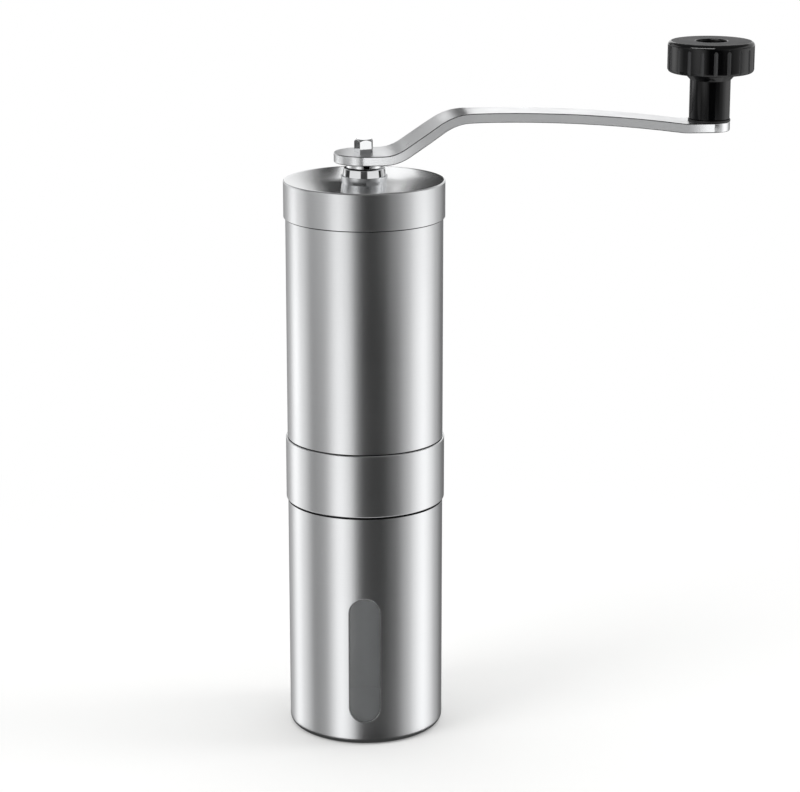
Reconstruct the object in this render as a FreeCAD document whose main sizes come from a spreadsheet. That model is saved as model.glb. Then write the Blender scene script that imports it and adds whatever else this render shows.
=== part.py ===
"""Hand crank coffee grinder: a steel body with ceramic burrs, a lift-off lid and crank, and a catch cup.

The origin is the middle of the base, +Z is up, the window faces -Y and all sizes are in millimetres.
"""

import FreeCAD
import Part
import math
import os
import re

import Sketcher

V = FreeCAD.Vector
doc = FreeCAD.newDocument("grinder")
sheet = doc.addObject("Spreadsheet::Sheet", "Sizes")

# Driving sizes, one per cell.
SIZES = {
    # steel shells
    "tube_d": 47.0,
    "tube_wall": 0.8,
    "slip_gap": 0.06,
    "catch_visible": 72.5,
    "catch_insert": 9.0,
    "catch_floor": 1.0,
    "catch_round": 2.2,
    "seat_gap": 0.2,
    "hopper_length": 87.6,
    "band_height": 19.0,
    "band_wall": 0.45,
    "band_round": 0.35,
    # window
    "window_width": 9.5,
    "window_height": 39.4,
    "window_sill": 7.4,
    "lens_gap": 0.1,
    "lens_recess": 0.25,
    "lens_thick": 1.2,
    "lens_flange": 2.5,
    # lid
    "lid_skirt": 11.0,
    "lid_wall": 0.5,
    "lid_rim": 1.2,
    "lid_dish": 0.9,
    "lid_round": 0.4,
    "lid_bush_d": 12.6,
    "lid_bush_step_d": 13.8,
    "lid_bush_step": 2.0,
    "lid_bush_stand": 4.5,
    "lid_bush_flange": 0.8,
    "lid_bush_spigot": 1.5,
    # housing and bearings
    "press_gap": 0.05,
    "retainer_thick": 2.0,
    "retainer_lip": 1.3,
    "housing_lip": 1.6,
    "hub_d": 15.0,
    "hub_height": 20.0,
    "hub_gap": 21.0,
    "arm_count": 3,
    "spider_arm_width": 5.0,
    "spider_arm_height": 7.0,
    "bush_d": 10.0,
    "bush_length": 6.0,
    "bush_flange_d": 13.0,
    "bush_flange": 1.0,
    "run_gap": 0.05,
    # shaft
    "shaft_d": 6.0,
    "tip_corner_d": 5.9,
    "tip_stand": 4.0,
    "tip_turn_angle": 25.0,
    "tip_depth": 14.0,
    "tip_chamfer": 0.7,
    "flat_width": 4.6,
    "flat_top": 4.0,
    "thread_pitch": 1.0,
    "thread_depth": 0.45,
    "thread_length": 14.0,
    "clip_d": 10.0,
    "clip_thick": 0.8,
    "clip_groove": 0.5,
    "washer_thick": 0.8,
    # burrs
    "housing_wall": 2.1,
    "ring_wall": 2.6,
    "ring_taper": 2.1,
    "ring_flare": 0.7,
    "ring_height": 17.0,
    "ring_tooth_zone": 7.0,
    "ring_teeth": 48,
    "burr_gap": 0.9,
    "cone_taper": 2.0,
    "cone_fall": 7.0,
    "cone_height": 21.0,
    "cone_rim": 2.6,
    "cone_tooth_zone": 8.0,
    "cone_teeth": 44,
    "cone_drop": 1.5,
    "cone_flutes": 6,
    "flute_depth": 4.2,
    "flute_land": 0.12,
    "flute_twist_angle": 62.0,
    "tooth_depth": 0.6,
    "tooth_twist_angle": 22.0,
    "core_d": 12.0,
    "core_stand": 5.6,
    "core_ridge": 1.1,
    "core_foot_d": 15.0,
    "core_foot": 3.0,
    "spring_coil_d": 10.6,
    "spring_wire": 0.9,
    "spring_turns": 5,
    "plate_d": 18.0,
    "dial_d": 23.0,
    "dial_height": 6.5,
    "dial_lobes": 8,
    "dial_scallop": 2.6,
    "nut_corner_d": 11.5,
    "nut_height": 5.0,
    "dial_gap": 0.3,
    # crank
    "crank_rest_angle": 6.0,
    "arm_reach": 103.4,
    "arm_thick": 2.85,
    "arm_hub_d": 18.0,
    "arm_neck_width": 12.2,
    "arm_shoulder_at": 15.0,
    "arm_neck_at": 38.0,
    "arm_grip_d": 12.4,
    "arm_hub_flat": 4.8,
    "arm_slope_angle": 34.0,
    "arm_lower_bend": 13.0,
    "arm_upper_bend": 16.0,
    "arm_incline": 12.1,
    "arm_bow_rise_angle": 1.0,
    "arm_bow_fall_angle": 8.0,
    "arm_grip_bend": 20.0,
    "boss_d": 10.8,
    "boss_height": 1.45,
    "boss_clear": 0.3,
    # knob
    "knob_head_d": 25.7,
    "knob_head_height": 9.3,
    "knob_stem_d": 12.1,
    "knob_height": 23.1,
    "knob_flare_d": 16.2,
    "knob_flare_height": 2.2,
    "knob_round": 1.2,
    "knob_recess_d": 9.3,
    "knob_recess": 3.0,
    "knob_flutes": 20,
    "knob_flute_d": 1.3,
    "screw_d": 4.0,
    "screw_head_d": 7.6,
    "screw_head": 1.8,
    "screw_slot": 1.0,
    "knob_washer_d": 12.6,
    "knob_washer_thick": 0.6,
    "knob_run_gap": 0.08,
}
for row, (alias, value) in enumerate(SIZES.items(), start=1):
    sheet.set(f"A{row}", alias)
    sheet.set(f"B{row}", str(value))
    sheet.setAlias(f"B{row}", alias)
doc.recompute()

# Levels and radii that follow from the driving sizes.
DERIVED = {
    "tube_r": "tube_d / 2",
    "tube_bore_r": "tube_r - tube_wall",
    "sleeve_r": "tube_r + slip_gap",
    "catch_top": "catch_visible + catch_insert",
    "tube_bottom": "catch_top + seat_gap",
    "tube_top": "tube_bottom + hopper_length",
    "band_top": "catch_visible + band_height",
    "window_middle": "window_sill + window_height / 2",
    "lid_r": "sleeve_r + lid_wall",
    "lid_top": "tube_top + seat_gap + lid_wall",
    "lid_bottom": "lid_top - lid_skirt",
    "lid_centre": "lid_top - lid_dish",
    "shaft_r": "shaft_d / 2",
    "bush_top": "lid_centre + lid_bush_stand",
    "bush_bore_r": "shaft_r + 4 * run_gap",
    "arm_under": "bush_top + boss_clear + boss_height",
    "arm_over": "arm_under + arm_thick",
    "tip_top": "arm_over + tip_stand",
    "tip_bottom": "tip_top - tip_depth",
    "retainer_bottom": "tube_bottom + seat_gap",
    "ring_bottom": "retainer_bottom + retainer_thick",
    "ring_r": "housing_r - press_gap - housing_wall",
    "ring_mouth_r": "ring_r - ring_wall",
    "ring_throat_r": "ring_mouth_r - ring_taper",
    "ring_top_r": "ring_throat_r + ring_flare",
    "cone_r": "ring_mouth_r - burr_gap",
    "cone_shoulder_r": "cone_r - cone_taper",
    "cone_top_r": "cone_r - cone_fall",
    "ring_top": "ring_bottom + ring_height",
    "housing_r": "tube_bore_r - press_gap",
    "housing_lip_top": "ring_top + press_gap + housing_lip",
    "housing_top": "housing_lip_top + hub_gap + hub_height",
    "hub_bottom": "housing_lip_top + hub_gap",
    "hub_top": "hub_bottom + hub_height",
    "bush_r": "bush_d / 2",
    "clip_bottom": "hub_top + bush_flange + run_gap + washer_thick + run_gap",
    "clip_top": "clip_bottom + clip_thick",
    "cone_bottom": "ring_bottom - cone_drop",
    "cone_top": "cone_bottom + cone_height",
    "core_r": "core_d / 2",
    "core_top": "cone_top + core_stand",
    "core_bottom": "cone_bottom",
    "core_bore_r": "shaft_r + run_gap",
    "washer_bottom": "core_top + press_gap",
    "spring_bottom": "washer_bottom + washer_thick + press_gap",
    "seat_washer_top": "hub_bottom - bush_flange - run_gap",
    "spring_top": "seat_washer_top - washer_thick - press_gap",
    "plate_top": "cone_bottom - press_gap",
    "dial_top": "plate_top - washer_thick - dial_gap",
    "dial_bottom": "dial_top - dial_height",
    "shaft_bottom": "dial_bottom - 1.5 * thread_pitch",
    "thread_top": "shaft_bottom + thread_length",
    "arm_grip_flat": "knob_washer_d / 2 + knob_washer_thick",
    "knob_washer_top": "arm_grip_top + knob_washer_thick",
    "knob_bottom": "knob_washer_top + knob_run_gap",
    "knob_top": "knob_bottom + knob_height",
    "screw_r": "screw_d / 2",
    "screw_head_bottom": "knob_top - knob_recess + knob_run_gap",
    "knob_bore_r": "screw_r + knob_run_gap",
}


def spelled(expression):
    """The expression with every derived name written out and every size read from the sheet."""
    def swap(found):
        word = found.group(0)
        if word in DERIVED:
            return "(" + spelled(DERIVED[word]) + ")"
        return "Sizes." + word if word in SIZES else word
    return re.sub(r"[a-z_][a-z_0-9]*", swap, expression)


def size(expression):
    """The expression's value in millimetres."""
    found = sheet.evalExpression(spelled(expression))
    return float(getattr(found, "Value", found))


def bind(thing, **bindings):
    """Ties the object's properties to sizes in the sheet."""
    for prop, expression in bindings.items():
        thing.setExpression(prop.replace("__", "."), spelled(expression))
    return thing


# The crank's bar follows tangent arcs in its own plane. Its grip end sits lower than its crest.
def arm_path():
    """Stretches of the bent bar's centre line: arcs as (radius, start, stop) and a run as (length, angle)."""
    slope = math.radians(size("arm_slope_angle"))
    rise, fall = math.radians(size("arm_bow_rise_angle")), math.radians(size("arm_bow_fall_angle"))
    lower, upper = size("arm_lower_bend"), size("arm_upper_bend")
    grip_bend, run = size("arm_grip_bend"), size("arm_incline")
    used = size("arm_hub_flat") + lower * math.sin(slope) + run * math.cos(slope)
    used += upper * (math.sin(slope) - math.sin(rise)) + grip_bend * math.sin(fall) + size("arm_grip_flat")
    bow = (size("arm_reach") - used) / (math.sin(rise) + math.sin(fall))
    climb = [(lower, 0.0, slope), (run, slope), (upper, slope, rise)]
    return climb + [(bow, rise, -fall), (grip_bend, -fall, 0.0)]


def arm_edge(offset):
    """Edge of the bar at that distance above its centre line, as wire edges and the last point."""
    level = size("arm_under + arm_thick / 2") + offset
    point = V(size("arm_hub_flat"), 0, level)
    edges = [Part.LineSegment(V(-size("arm_hub_d"), 0, level), point)]
    for stretch in arm_path():
        if len(stretch) == 2:
            length, angle = stretch
            end = point + V(length * math.cos(angle), 0, length * math.sin(angle))
            edges.append(Part.LineSegment(point, end))
        else:
            radius, start, stop = stretch
            side = 1 if stop > start else -1
            near = radius - side * offset
            turned_by = [start + share * (stop - start) for share in (0.5, 1.0)]
            middle, end = [
                point + V(side * near * (math.sin(a) - math.sin(start)), 0,
                          side * near * (math.cos(start) - math.cos(a)))
                for a in turned_by
            ]
            edges.append(Part.Arc(point, middle, end))
        point = end
    tail = point + V(size("arm_grip_flat + arm_grip_d"), 0, 0)
    edges.append(Part.LineSegment(point, tail))
    return edges, tail


DERIVED["arm_grip_top"] = f"arm_over + {arm_edge(0)[1].z - size('arm_under + arm_thick / 2')}"


def turned(label, points):
    """A body turned about Z from a closed outline of (radius, height) pairs."""
    body = doc.addObject("PartDesign::Body", label)
    sketch = body.newObject("Sketcher::SketchObject", label + "_outline")
    plane = next(f for f in body.Origin.OriginFeatures if f.Role == "XZ_Plane")
    sketch.AttachmentSupport = [(plane, "")]
    sketch.MapMode = "FlatFace"
    places = [V(size(radius), size(height), 0) for radius, height in points]
    for start, end in zip(places, places[1:] + places[:1]):
        sketch.addGeometry(Part.LineSegment(start, end))
    for index, (radius, height) in enumerate(points):
        before = index - 1 if index else len(points) - 1
        sketch.addConstraint(Sketcher.Constraint("Coincident", before, 2, index, 1))
        for kind, axis, text, value in (("DistanceX", -2, radius, places[index].x),
                                        ("DistanceY", -1, height, places[index].y)):
            if text == "0":
                sketch.addConstraint(Sketcher.Constraint("PointOnObject", index, 1, axis))
            else:
                row = sketch.addConstraint(Sketcher.Constraint(kind, -1, 1, index, 1, value))
                sketch.setExpression(f"Constraints[{row}]", spelled(text))
    revolution = body.newObject("PartDesign::Revolution", label + "_turning")
    revolution.Profile = sketch
    revolution.ReferenceAxis = (sketch, ["V_Axis"])
    revolution.Angle = 360
    doc.recompute()
    return body


def rounded(body, radius, rims, kind="Fillet"):
    """Rounds or chamfers the rims given as (radius, height) pairs."""
    tip = body.Tip
    names = []
    for rim, height in rims:
        for number, edge in enumerate(tip.Shape.Edges, start=1):
            circle = edge.Curve
            if not isinstance(circle, Part.Circle):
                continue
            if abs(circle.Radius - size(rim)) < 1e-4 and abs(circle.Center.z - size(height)) < 1e-4:
                names.append(f"Edge{number}")
    feature = body.newObject("PartDesign::" + kind, body.Name + "_" + kind.lower())
    feature.Base = (tip, names)
    bind(feature, **{"Radius" if kind == "Fillet" else "Size": radius})
    doc.recompute()
    return body


def cylinder(name, radius, bottom, height):
    """A plain cylinder on Z, for booleans."""
    return bind(doc.addObject("Part::Cylinder", name), Radius=radius, Height=height, Placement__Base__z=bottom)


def joined(name, *pieces):
    """One solid from several."""
    fuse = doc.addObject("Part::MultiFuse", name)
    fuse.Shapes = list(pieces)
    doc.recompute()
    return fuse


def trimmed(name, base, tool, kind="Part::Cut"):
    """The base less the tool, or what they share."""
    cut = doc.addObject(kind, name)
    cut.Base = base
    cut.Tool = tool
    doc.recompute()
    return cut


def shaped(name, shape):
    """A piece whose form is worked out from the sheet."""
    feature = doc.addObject("Part::Feature", name)
    feature.Shape = shape
    return feature


def pattern(shape, count):
    """That many copies of a shape about Z."""
    turn = 360 / count
    return Part.makeCompound([shape.rotated(V(), V(0, 0, 1), index * turn) for index in range(count)])


def on_crank(piece, reach="0"):
    """Turns a piece to the crank's resting angle, at that distance from the shaft."""
    angle = "crank_rest_angle * 1deg"
    piece.Placement = FreeCAD.Placement(V(), V(0, 0, 1), 0)
    bind(piece, Placement__Base__x=f"({reach}) * cos({angle})", Placement__Base__y=f"({reach}) * sin({angle})",
         Placement__Rotation__Angle=angle)
    return piece


def obround(name, margin):
    """A block through the front wall with the window's outline, smaller or larger by a margin."""
    width, bottom = f"(window_width + 2 * ({margin}))", f"(window_sill - ({margin}))"
    span = f"(window_height + 2 * ({margin}))"
    box = bind(doc.addObject("Part::Box", name + "_middle"), Length=width, Width="tube_r",
               Height=f"{span} - {width}",
               Placement__Base__x=f"-{width} / 2", Placement__Base__y="-1.2 * tube_r",
               Placement__Base__z=f"{bottom} + {width} / 2")
    ends = []
    for end, height in (("bottom", f"{bottom} + {width} / 2"), ("top", f"{bottom} + {span} - {width} / 2")):
        rod = bind(doc.addObject("Part::Cylinder", f"{name}_{end}"), Radius=f"{width} / 2", Height="tube_r")
        rod.Placement = FreeCAD.Placement(V(), FreeCAD.Rotation(V(1, 0, 0), -90))
        ends.append(bind(rod, Placement__Base__y="-1.2 * tube_r", Placement__Base__z=height))
    return joined(name, box, *ends)


def catch_cup():
    """Deep drawn cup with a rounded foot and a window slot."""
    cup = turned("catch_shell", [
        ("0", "0"), ("tube_r", "0"), ("tube_r", "catch_top"), ("tube_bore_r", "catch_top"),
        ("tube_bore_r", "catch_floor"), ("0", "catch_floor")])
    rounded(cup, "catch_round", [("tube_r", "0")])
    return trimmed("catch_cup", cup, obround("window_slot", "0"))


def window_lens():
    """Curved clear pane that fills the slot, with a flange behind the wall."""
    inner = "tube_bore_r - lens_gap - lens_thick"
    pane = trimmed("lens_pane_ring", cylinder("lens_pane_outer", "tube_r - lens_recess", "0", "catch_top"),
                   cylinder("lens_pane_inner", inner, "0", "catch_top"))
    back = trimmed("lens_back_ring", cylinder("lens_back_outer", "tube_bore_r - lens_gap", "0", "catch_top"),
                   cylinder("lens_back_inner", inner, "0", "catch_top"))
    pane = trimmed("lens_pane", pane, obround("lens_outline", "-lens_gap"), "Part::Common")
    back = trimmed("lens_back", back, obround("flange_outline", "lens_flange"), "Part::Common")
    return joined("window_lens", pane, back)


def body_shells():
    """Hopper tube and the band that carries the catch cup's neck."""
    tube = turned("hopper_tube", [
        ("tube_bore_r", "tube_bottom"), ("tube_r", "tube_bottom"), ("tube_r", "tube_top"),
        ("tube_bore_r", "tube_top")])
    band = turned("mid_band", [
        ("sleeve_r", "catch_visible"), ("sleeve_r + band_wall", "catch_visible"),
        ("sleeve_r + band_wall", "band_top"), ("sleeve_r", "band_top")])
    band_r = "sleeve_r + band_wall"
    rounded(band, "band_round", [(band_r, "catch_visible"), (band_r, "band_top")])
    return [tube, band]


def burr_housing():
    """Moulded sleeve with a lip over the ring burr and a three-armed spider that carries the bearing hub."""
    ring_seat = "ring_r + press_gap"
    lip = "ring_top_r + press_gap"
    sleeve = turned("housing_sleeve", [
        (ring_seat, "ring_bottom"), ("housing_r", "ring_bottom"), ("housing_r", "housing_top"),
        ("housing_r - housing_lip", "housing_top"),
        ("housing_r - housing_lip", "housing_lip_top + 2 * housing_lip"),
        (lip, "housing_lip_top"), (lip, "ring_top + press_gap"), (ring_seat, "ring_top + press_gap")])
    bush_seat = "bush_r + press_gap"
    hub = turned("housing_hub", [
        (bush_seat, "hub_bottom"), ("hub_d / 2", "hub_bottom"), ("hub_d / 2", "hub_top"),
        (bush_seat, "hub_top")])
    arms = []
    for index in range(int(size("arm_count"))):
        arm = bind(doc.addObject("Part::Box", f"spider_arm_{index + 1}"), Width="spider_arm_width",
                   Length="housing_r - housing_lip / 2 - (bush_r + press_gap + hub_d / 2) / 2",
                   Height="spider_arm_height")
        angle = f"({index} / arm_count * 360 + 30) * 1deg"
        start = "(bush_r + press_gap + hub_d / 2) / 2"
        side = "spider_arm_width / 2"
        arm.Placement = FreeCAD.Placement(V(), V(0, 0, 1), 0)
        arms.append(bind(arm, Placement__Rotation__Angle=angle,
                         Placement__Base__x=f"{start} * cos({angle}) + {side} * sin({angle})",
                         Placement__Base__y=f"{start} * sin({angle}) - {side} * cos({angle})",
                         Placement__Base__z="hub_top - spider_arm_height - hub_height / 4"))
    return joined("burr_housing", sleeve, hub, *arms)


def bearings():
    """Two flanged bushes in the hub, with a washer outside each and a clip on the shaft."""
    bore = "shaft_r + run_gap"
    lower = turned("lower_bush", [
        (bore, "hub_bottom - bush_flange"), ("bush_flange_d / 2", "hub_bottom - bush_flange"),
        ("bush_flange_d / 2", "hub_bottom"), ("bush_r", "hub_bottom"), ("bush_r", "hub_bottom + bush_length"),
        (bore, "hub_bottom + bush_length")])
    upper = turned("upper_bush", [
        (bore, "hub_top - bush_length"), ("bush_r", "hub_top - bush_length"), ("bush_r", "hub_top"),
        ("bush_flange_d / 2", "hub_top"), ("bush_flange_d / 2", "hub_top + bush_flange"),
        (bore, "hub_top + bush_flange")])
    return [lower, upper]


def washer(label, bore, outer, bottom, thick="washer_thick"):
    """A flat ring."""
    top = f"{bottom} + {thick}"
    return turned(label, [(bore, bottom), (outer, bottom), (outer, top), (bore, top)])


def toothed(stations, count, depth):
    """A block with slanting V teeth, from (height, outer radius, twist) stations."""
    wires = []
    for height, radius, twist in stations:
        corners = []
        for step in range(2 * count + 1):
            reach = radius - depth * (step % 2)
            angle = math.pi * step / count + math.radians(twist)
            corners.append(V(reach * math.cos(angle), reach * math.sin(angle), height))
        wires.append(Part.makePolygon(corners))
    return Part.makeLoft(wires, True, True)


def fluted(stations, count):
    """A block with twisting flutes between narrow lands, from (height, land radius, flute radius, twist) rows."""
    land = size("flute_land") * math.pi / count
    wires = []
    for height, radius, root, twist in stations:
        def place(reach, angle):
            angle += math.radians(twist)
            return V(reach * math.cos(angle), reach * math.sin(angle), height)
        edges = []
        for index in range(count):
            middle = 2 * math.pi * index / count
            gap = middle + math.pi / count
            after = middle + 2 * math.pi / count - land
            across = [place(radius, middle + side * land) for side in (-1, 0, 1)]
            edges.append(Part.Arc(*across))
            edges.append(Part.Arc(place(radius, middle + land), place(root, gap), place(radius, after)))
        wires.append(Part.Wire([edge.toShape() for edge in edges]))
    return Part.makeLoft(wires, True, False)


def ring_burr():
    """Ceramic outer burr with fine slanting teeth below and wide scoops above."""
    mouth, throat, top = "ring_mouth_r", "ring_throat_r", "ring_top_r"
    knee = "ring_bottom + ring_tooth_zone"
    depth, count = size("tooth_depth"), int(size("ring_teeth"))
    slope = size(f"({mouth} - {throat}) / ring_tooth_zone")
    past = size("ring_tooth_zone / 10")
    teeth = toothed([(size("ring_bottom") - past, size(mouth) + past * slope + depth, 0.0),
                     (size(knee) + past, size(throat) - past * slope + depth, size("tooth_twist_angle"))],
                    count, depth)
    scoops = []
    for share in (-0.1, 0.4, 0.75, 1.1):
        height = size(knee) + share * size(f"ring_top - ({knee})")
        radius = size(throat) + share * size(f"{top} - {throat}")
        scoops.append((height, radius, radius + depth * (1 + share), share * size("flute_twist_angle") / 2))
    blank = cylinder("ring_blank", "ring_r", "ring_bottom", "ring_height")
    hollow = joined("ring_hollow", shaped("ring_tooth_space", teeth),
                    shaped("ring_scoop_space", fluted(scoops, 2 * int(size("cone_flutes")))))
    return trimmed("ring_burr", blank, hollow)


def cone_burr():
    """Ceramic inner burr: twisting flutes at the top run out into fine teeth above a plain rim."""
    rim, shoulder, top = size("cone_r"), size("cone_shoulder_r"), size("cone_top_r")
    knee, high = size("cone_bottom + cone_tooth_zone"), size("cone_top")
    teeth = toothed([(size("cone_bottom + cone_rim"), rim, 0.0), (knee, shoulder, -size("tooth_twist_angle"))],
                    int(size("cone_teeth")), size("tooth_depth"))
    flutes = []
    for share in (0.0, 0.3, 0.65, 1.0):
        radius = shoulder - size("tooth_depth") + share * (top - shoulder + size("tooth_depth"))
        root = radius - size("flute_depth") * math.sin(share * math.pi / 2) * (0.2 + 0.8 * radius / shoulder)
        flutes.append((knee + share * (high - knee), radius, max(root, size("core_r + core_ridge / 2")),
                       -share * size("flute_twist_angle")))
    rim_ring = cylinder("cone_rim_ring", "cone_r", "cone_bottom", "cone_rim")
    solid = joined("cone_solid", rim_ring, shaped("cone_tooth_ring", teeth),
                   shaped("cone_flutes", fluted(flutes, int(size("cone_flutes")))))
    bore = turned("cone_bore", [
        ("0", "cone_bottom - core_foot"), ("core_foot_d / 2 + press_gap", "cone_bottom - core_foot"),
        ("core_foot_d / 2 + press_gap", "cone_bottom + core_foot + press_gap"),
        ("core_r - core_ridge + press_gap", "cone_bottom + core_foot + press_gap"),
        ("core_r - core_ridge + press_gap", "cone_top + core_foot"), ("0", "cone_top + core_foot")])
    return trimmed("cone_burr", solid, bore)


def burr_core():
    """Moulded hub through the cone burr, with two rounded ridges that feed the beans."""
    neck = "core_r - core_ridge"
    ridge_gap = "core_stand / 4"
    outline = [("0", "core_bottom"), ("core_foot_d / 2", "core_bottom"),
               ("core_foot_d / 2", "core_bottom + core_foot"), (neck, "core_bottom + core_foot"),
               (neck, "cone_top + press_gap")]
    for ridge in (0, 2):
        foot = f"cone_top + press_gap + {ridge} * {ridge_gap}"
        outline += [("core_r", f"{foot} + 0.3 * {ridge_gap}"), ("core_r", f"{foot} + 1.1 * {ridge_gap}"),
                    (neck, f"{foot} + 1.5 * {ridge_gap}")]
    outline += [(neck, "core_top"), ("0", "core_top")]
    blank = turned("core_blank", outline)
    span, width = "2 * (core_top - core_bottom)", "flat_width + 2 * run_gap"
    slab = bind(doc.addObject("Part::Box", "core_key"), Length="core_d", Width=width, Height=span,
                Placement__Base__x="-core_r", Placement__Base__y=f"-({width}) / 2",
                Placement__Base__z="core_bottom - core_d")
    round_bore = cylinder("core_round", "core_bore_r", "core_bottom - core_d", span)
    bore = trimmed("core_bore", round_bore, slab, "Part::Common")
    return on_crank(trimmed("burr_core", blank, bore))


def biarc(start, start_way, end, end_way):
    """Two arcs that meet smoothly and leave the ends along the given ways."""
    span, ways = end - start, start_way + end_way
    bend = 2 * (1 - start_way.dot(end_way))
    along = span.dot(ways)
    reach = (math.sqrt(along * along + bend * span.dot(span)) - along) / bend
    meet = (start + end + (start_way - end_way) * reach) * 0.5
    arcs = []
    for point, way, other in ((start, start_way, meet), (end, end_way * -1, meet)):
        chord = other - point
        unit = chord * (1 / chord.Length)
        lean = way - unit * way.dot(unit)
        half = math.atan2(lean.Length, way.dot(unit)) / 2
        middle = point + chord * 0.5 + lean * (chord.Length / 2 * math.tan(half) / lean.Length)
        ends = (point, middle, other) if point is start else (other, middle, point)
        arcs.append(Part.Arc(*ends).toShape())
    return arcs


def burr_spring():
    """Compression spring around the shaft, one unbroken wire."""
    radius, wire = size("(spring_coil_d - spring_wire) / 2"), size("spring_wire")
    bottom, top = size("spring_bottom") + wire / 2, size("spring_top") - wire / 2
    turns, steps = size("spring_turns"), 4
    quarter = math.pi / 2
    pitch = (top - bottom) / turns
    edges = []
    places, ways = [], []
    for step in range(int(turns * steps) + 1):
        angle = step * quarter
        places.append(V(radius * math.cos(angle), radius * math.sin(angle), bottom + pitch * step / steps))
        way = V(-radius * math.sin(angle), radius * math.cos(angle), pitch / (2 * math.pi))
        ways.append(way * (1 / way.Length))
    for step in range(len(places) - 1):
        edges += biarc(places[step], ways[step], places[step + 1], ways[step + 1])
    path = Part.Wire(edges)
    section = Part.Wire(Part.Circle(places[0], ways[0], wire / 2).toShape())
    print("spring gap between turns %.2f mm, wire length %.1f mm" % (pitch - wire, path.Length))
    return shaped("burr_spring", path.makePipeShell([section], True, False))


def five_sided(name, corner, bottom, height):
    """A five-sided bar turned to the crank's fit on the shaft."""
    bar = doc.addObject("Part::Prism", name)
    bar.Polygon = 5
    bar.Placement = FreeCAD.Placement(V(), V(0, 0, 1), 0)
    return bind(bar, Circumradius=corner, Height=height, Placement__Base__z=bottom,
                Placement__Rotation__Angle="tip_turn_angle * 1deg")


def main_shaft():
    """Steel shaft with a five-sided tip, a clip groove, two flats and a thread for the grind adjuster."""
    groove = "clip_groove"
    outline = [("0", "shaft_bottom"), ("shaft_r - thread_depth", "shaft_bottom")]
    for turn in range(int(size("thread_length / thread_pitch"))):
        root = f"shaft_bottom + {turn} * thread_pitch"
        outline += [("shaft_r", f"{root} + 0.4 * thread_pitch"), ("shaft_r", f"{root} + 0.6 * thread_pitch"),
                    ("shaft_r - thread_depth", f"{root} + thread_pitch")]
    outline += [("shaft_r", "thread_top + thread_depth"), ("shaft_r", "clip_bottom - press_gap"),
                (f"shaft_r - {groove}", "clip_bottom - press_gap"),
                (f"shaft_r - {groove}", "clip_top + press_gap"),
                ("shaft_r", "clip_top + press_gap"), ("shaft_r", "tip_bottom"), ("0", "tip_bottom")]
    rod = turned("shaft_rod", outline)
    tip = five_sided("shaft_tip", "tip_corner_d / 2", "tip_bottom - press_gap", "tip_depth + press_gap")
    cone = bind(doc.addObject("Part::Cone", "tip_point"), Radius1="tip_corner_d / 2 + tip_depth",
                Radius2="tip_corner_d / 2 - tip_chamfer", Height="tip_depth + tip_chamfer",
                Placement__Base__z="tip_top - tip_depth - tip_chamfer")
    tip = trimmed("shaft_tip_pointed", tip, cone, "Part::Common")
    flats = []
    for name, side in (("front", "1"), ("back", "-1")):
        flats.append(bind(doc.addObject("Part::Box", "shaft_flat_" + name), Length="shaft_d", Width="shaft_r",
                          Height="core_top + flat_top - shaft_bottom", Placement__Base__x="-shaft_r",
                          Placement__Base__y=f"{side} * (flat_width / 2 + shaft_r / 2) - shaft_r / 2",
                          Placement__Base__z="shaft_bottom"))
    rod = trimmed("shaft_flatted", rod, joined("shaft_flats", *flats))
    return on_crank(joined("main_shaft", rod, tip))


def adjuster():
    """Lobed grind dial moulded round a hexagonal nut, under a steel click plate."""
    dial = turned("dial_blank", [
        ("0", "dial_bottom"), ("dial_d / 2", "dial_bottom"), ("dial_d / 2", "dial_top"), ("0", "dial_top")])
    rounded(dial, "dial_gap", [("dial_d / 2", "dial_bottom"), ("dial_d / 2", "dial_top")])
    scallop = Part.makeCylinder(size("dial_scallop"), size("2 * dial_height"),
                                V(size("dial_d / 2 + dial_scallop / 3"), 0, size("dial_bottom - dial_height / 2")))
    scallops = shaped("dial_scallops", pattern(scallop, int(size("dial_lobes"))))
    socket = bind(doc.addObject("Part::Prism", "dial_socket"), Circumradius="nut_corner_d / 2 + press_gap",
                  Height="nut_height + press_gap", Placement__Base__z="dial_top - nut_height - press_gap")
    through = cylinder("dial_bore", "shaft_r + 4 * run_gap", "dial_bottom - dial_height", "2 * dial_height")
    scalloped = trimmed("dial_scalloped", dial, scallops)
    dial = trimmed("adjuster_dial", scalloped, joined("dial_hollow", socket, through))
    nut = bind(doc.addObject("Part::Prism", "nut_blank"), Circumradius="nut_corner_d / 2", Height="nut_height",
               Placement__Base__z="dial_top - nut_height")
    bore = cylinder("nut_bore", "shaft_r + run_gap", "dial_bottom", "2 * dial_height")
    return [dial, trimmed("adjuster_nut", nut, bore)]


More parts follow.
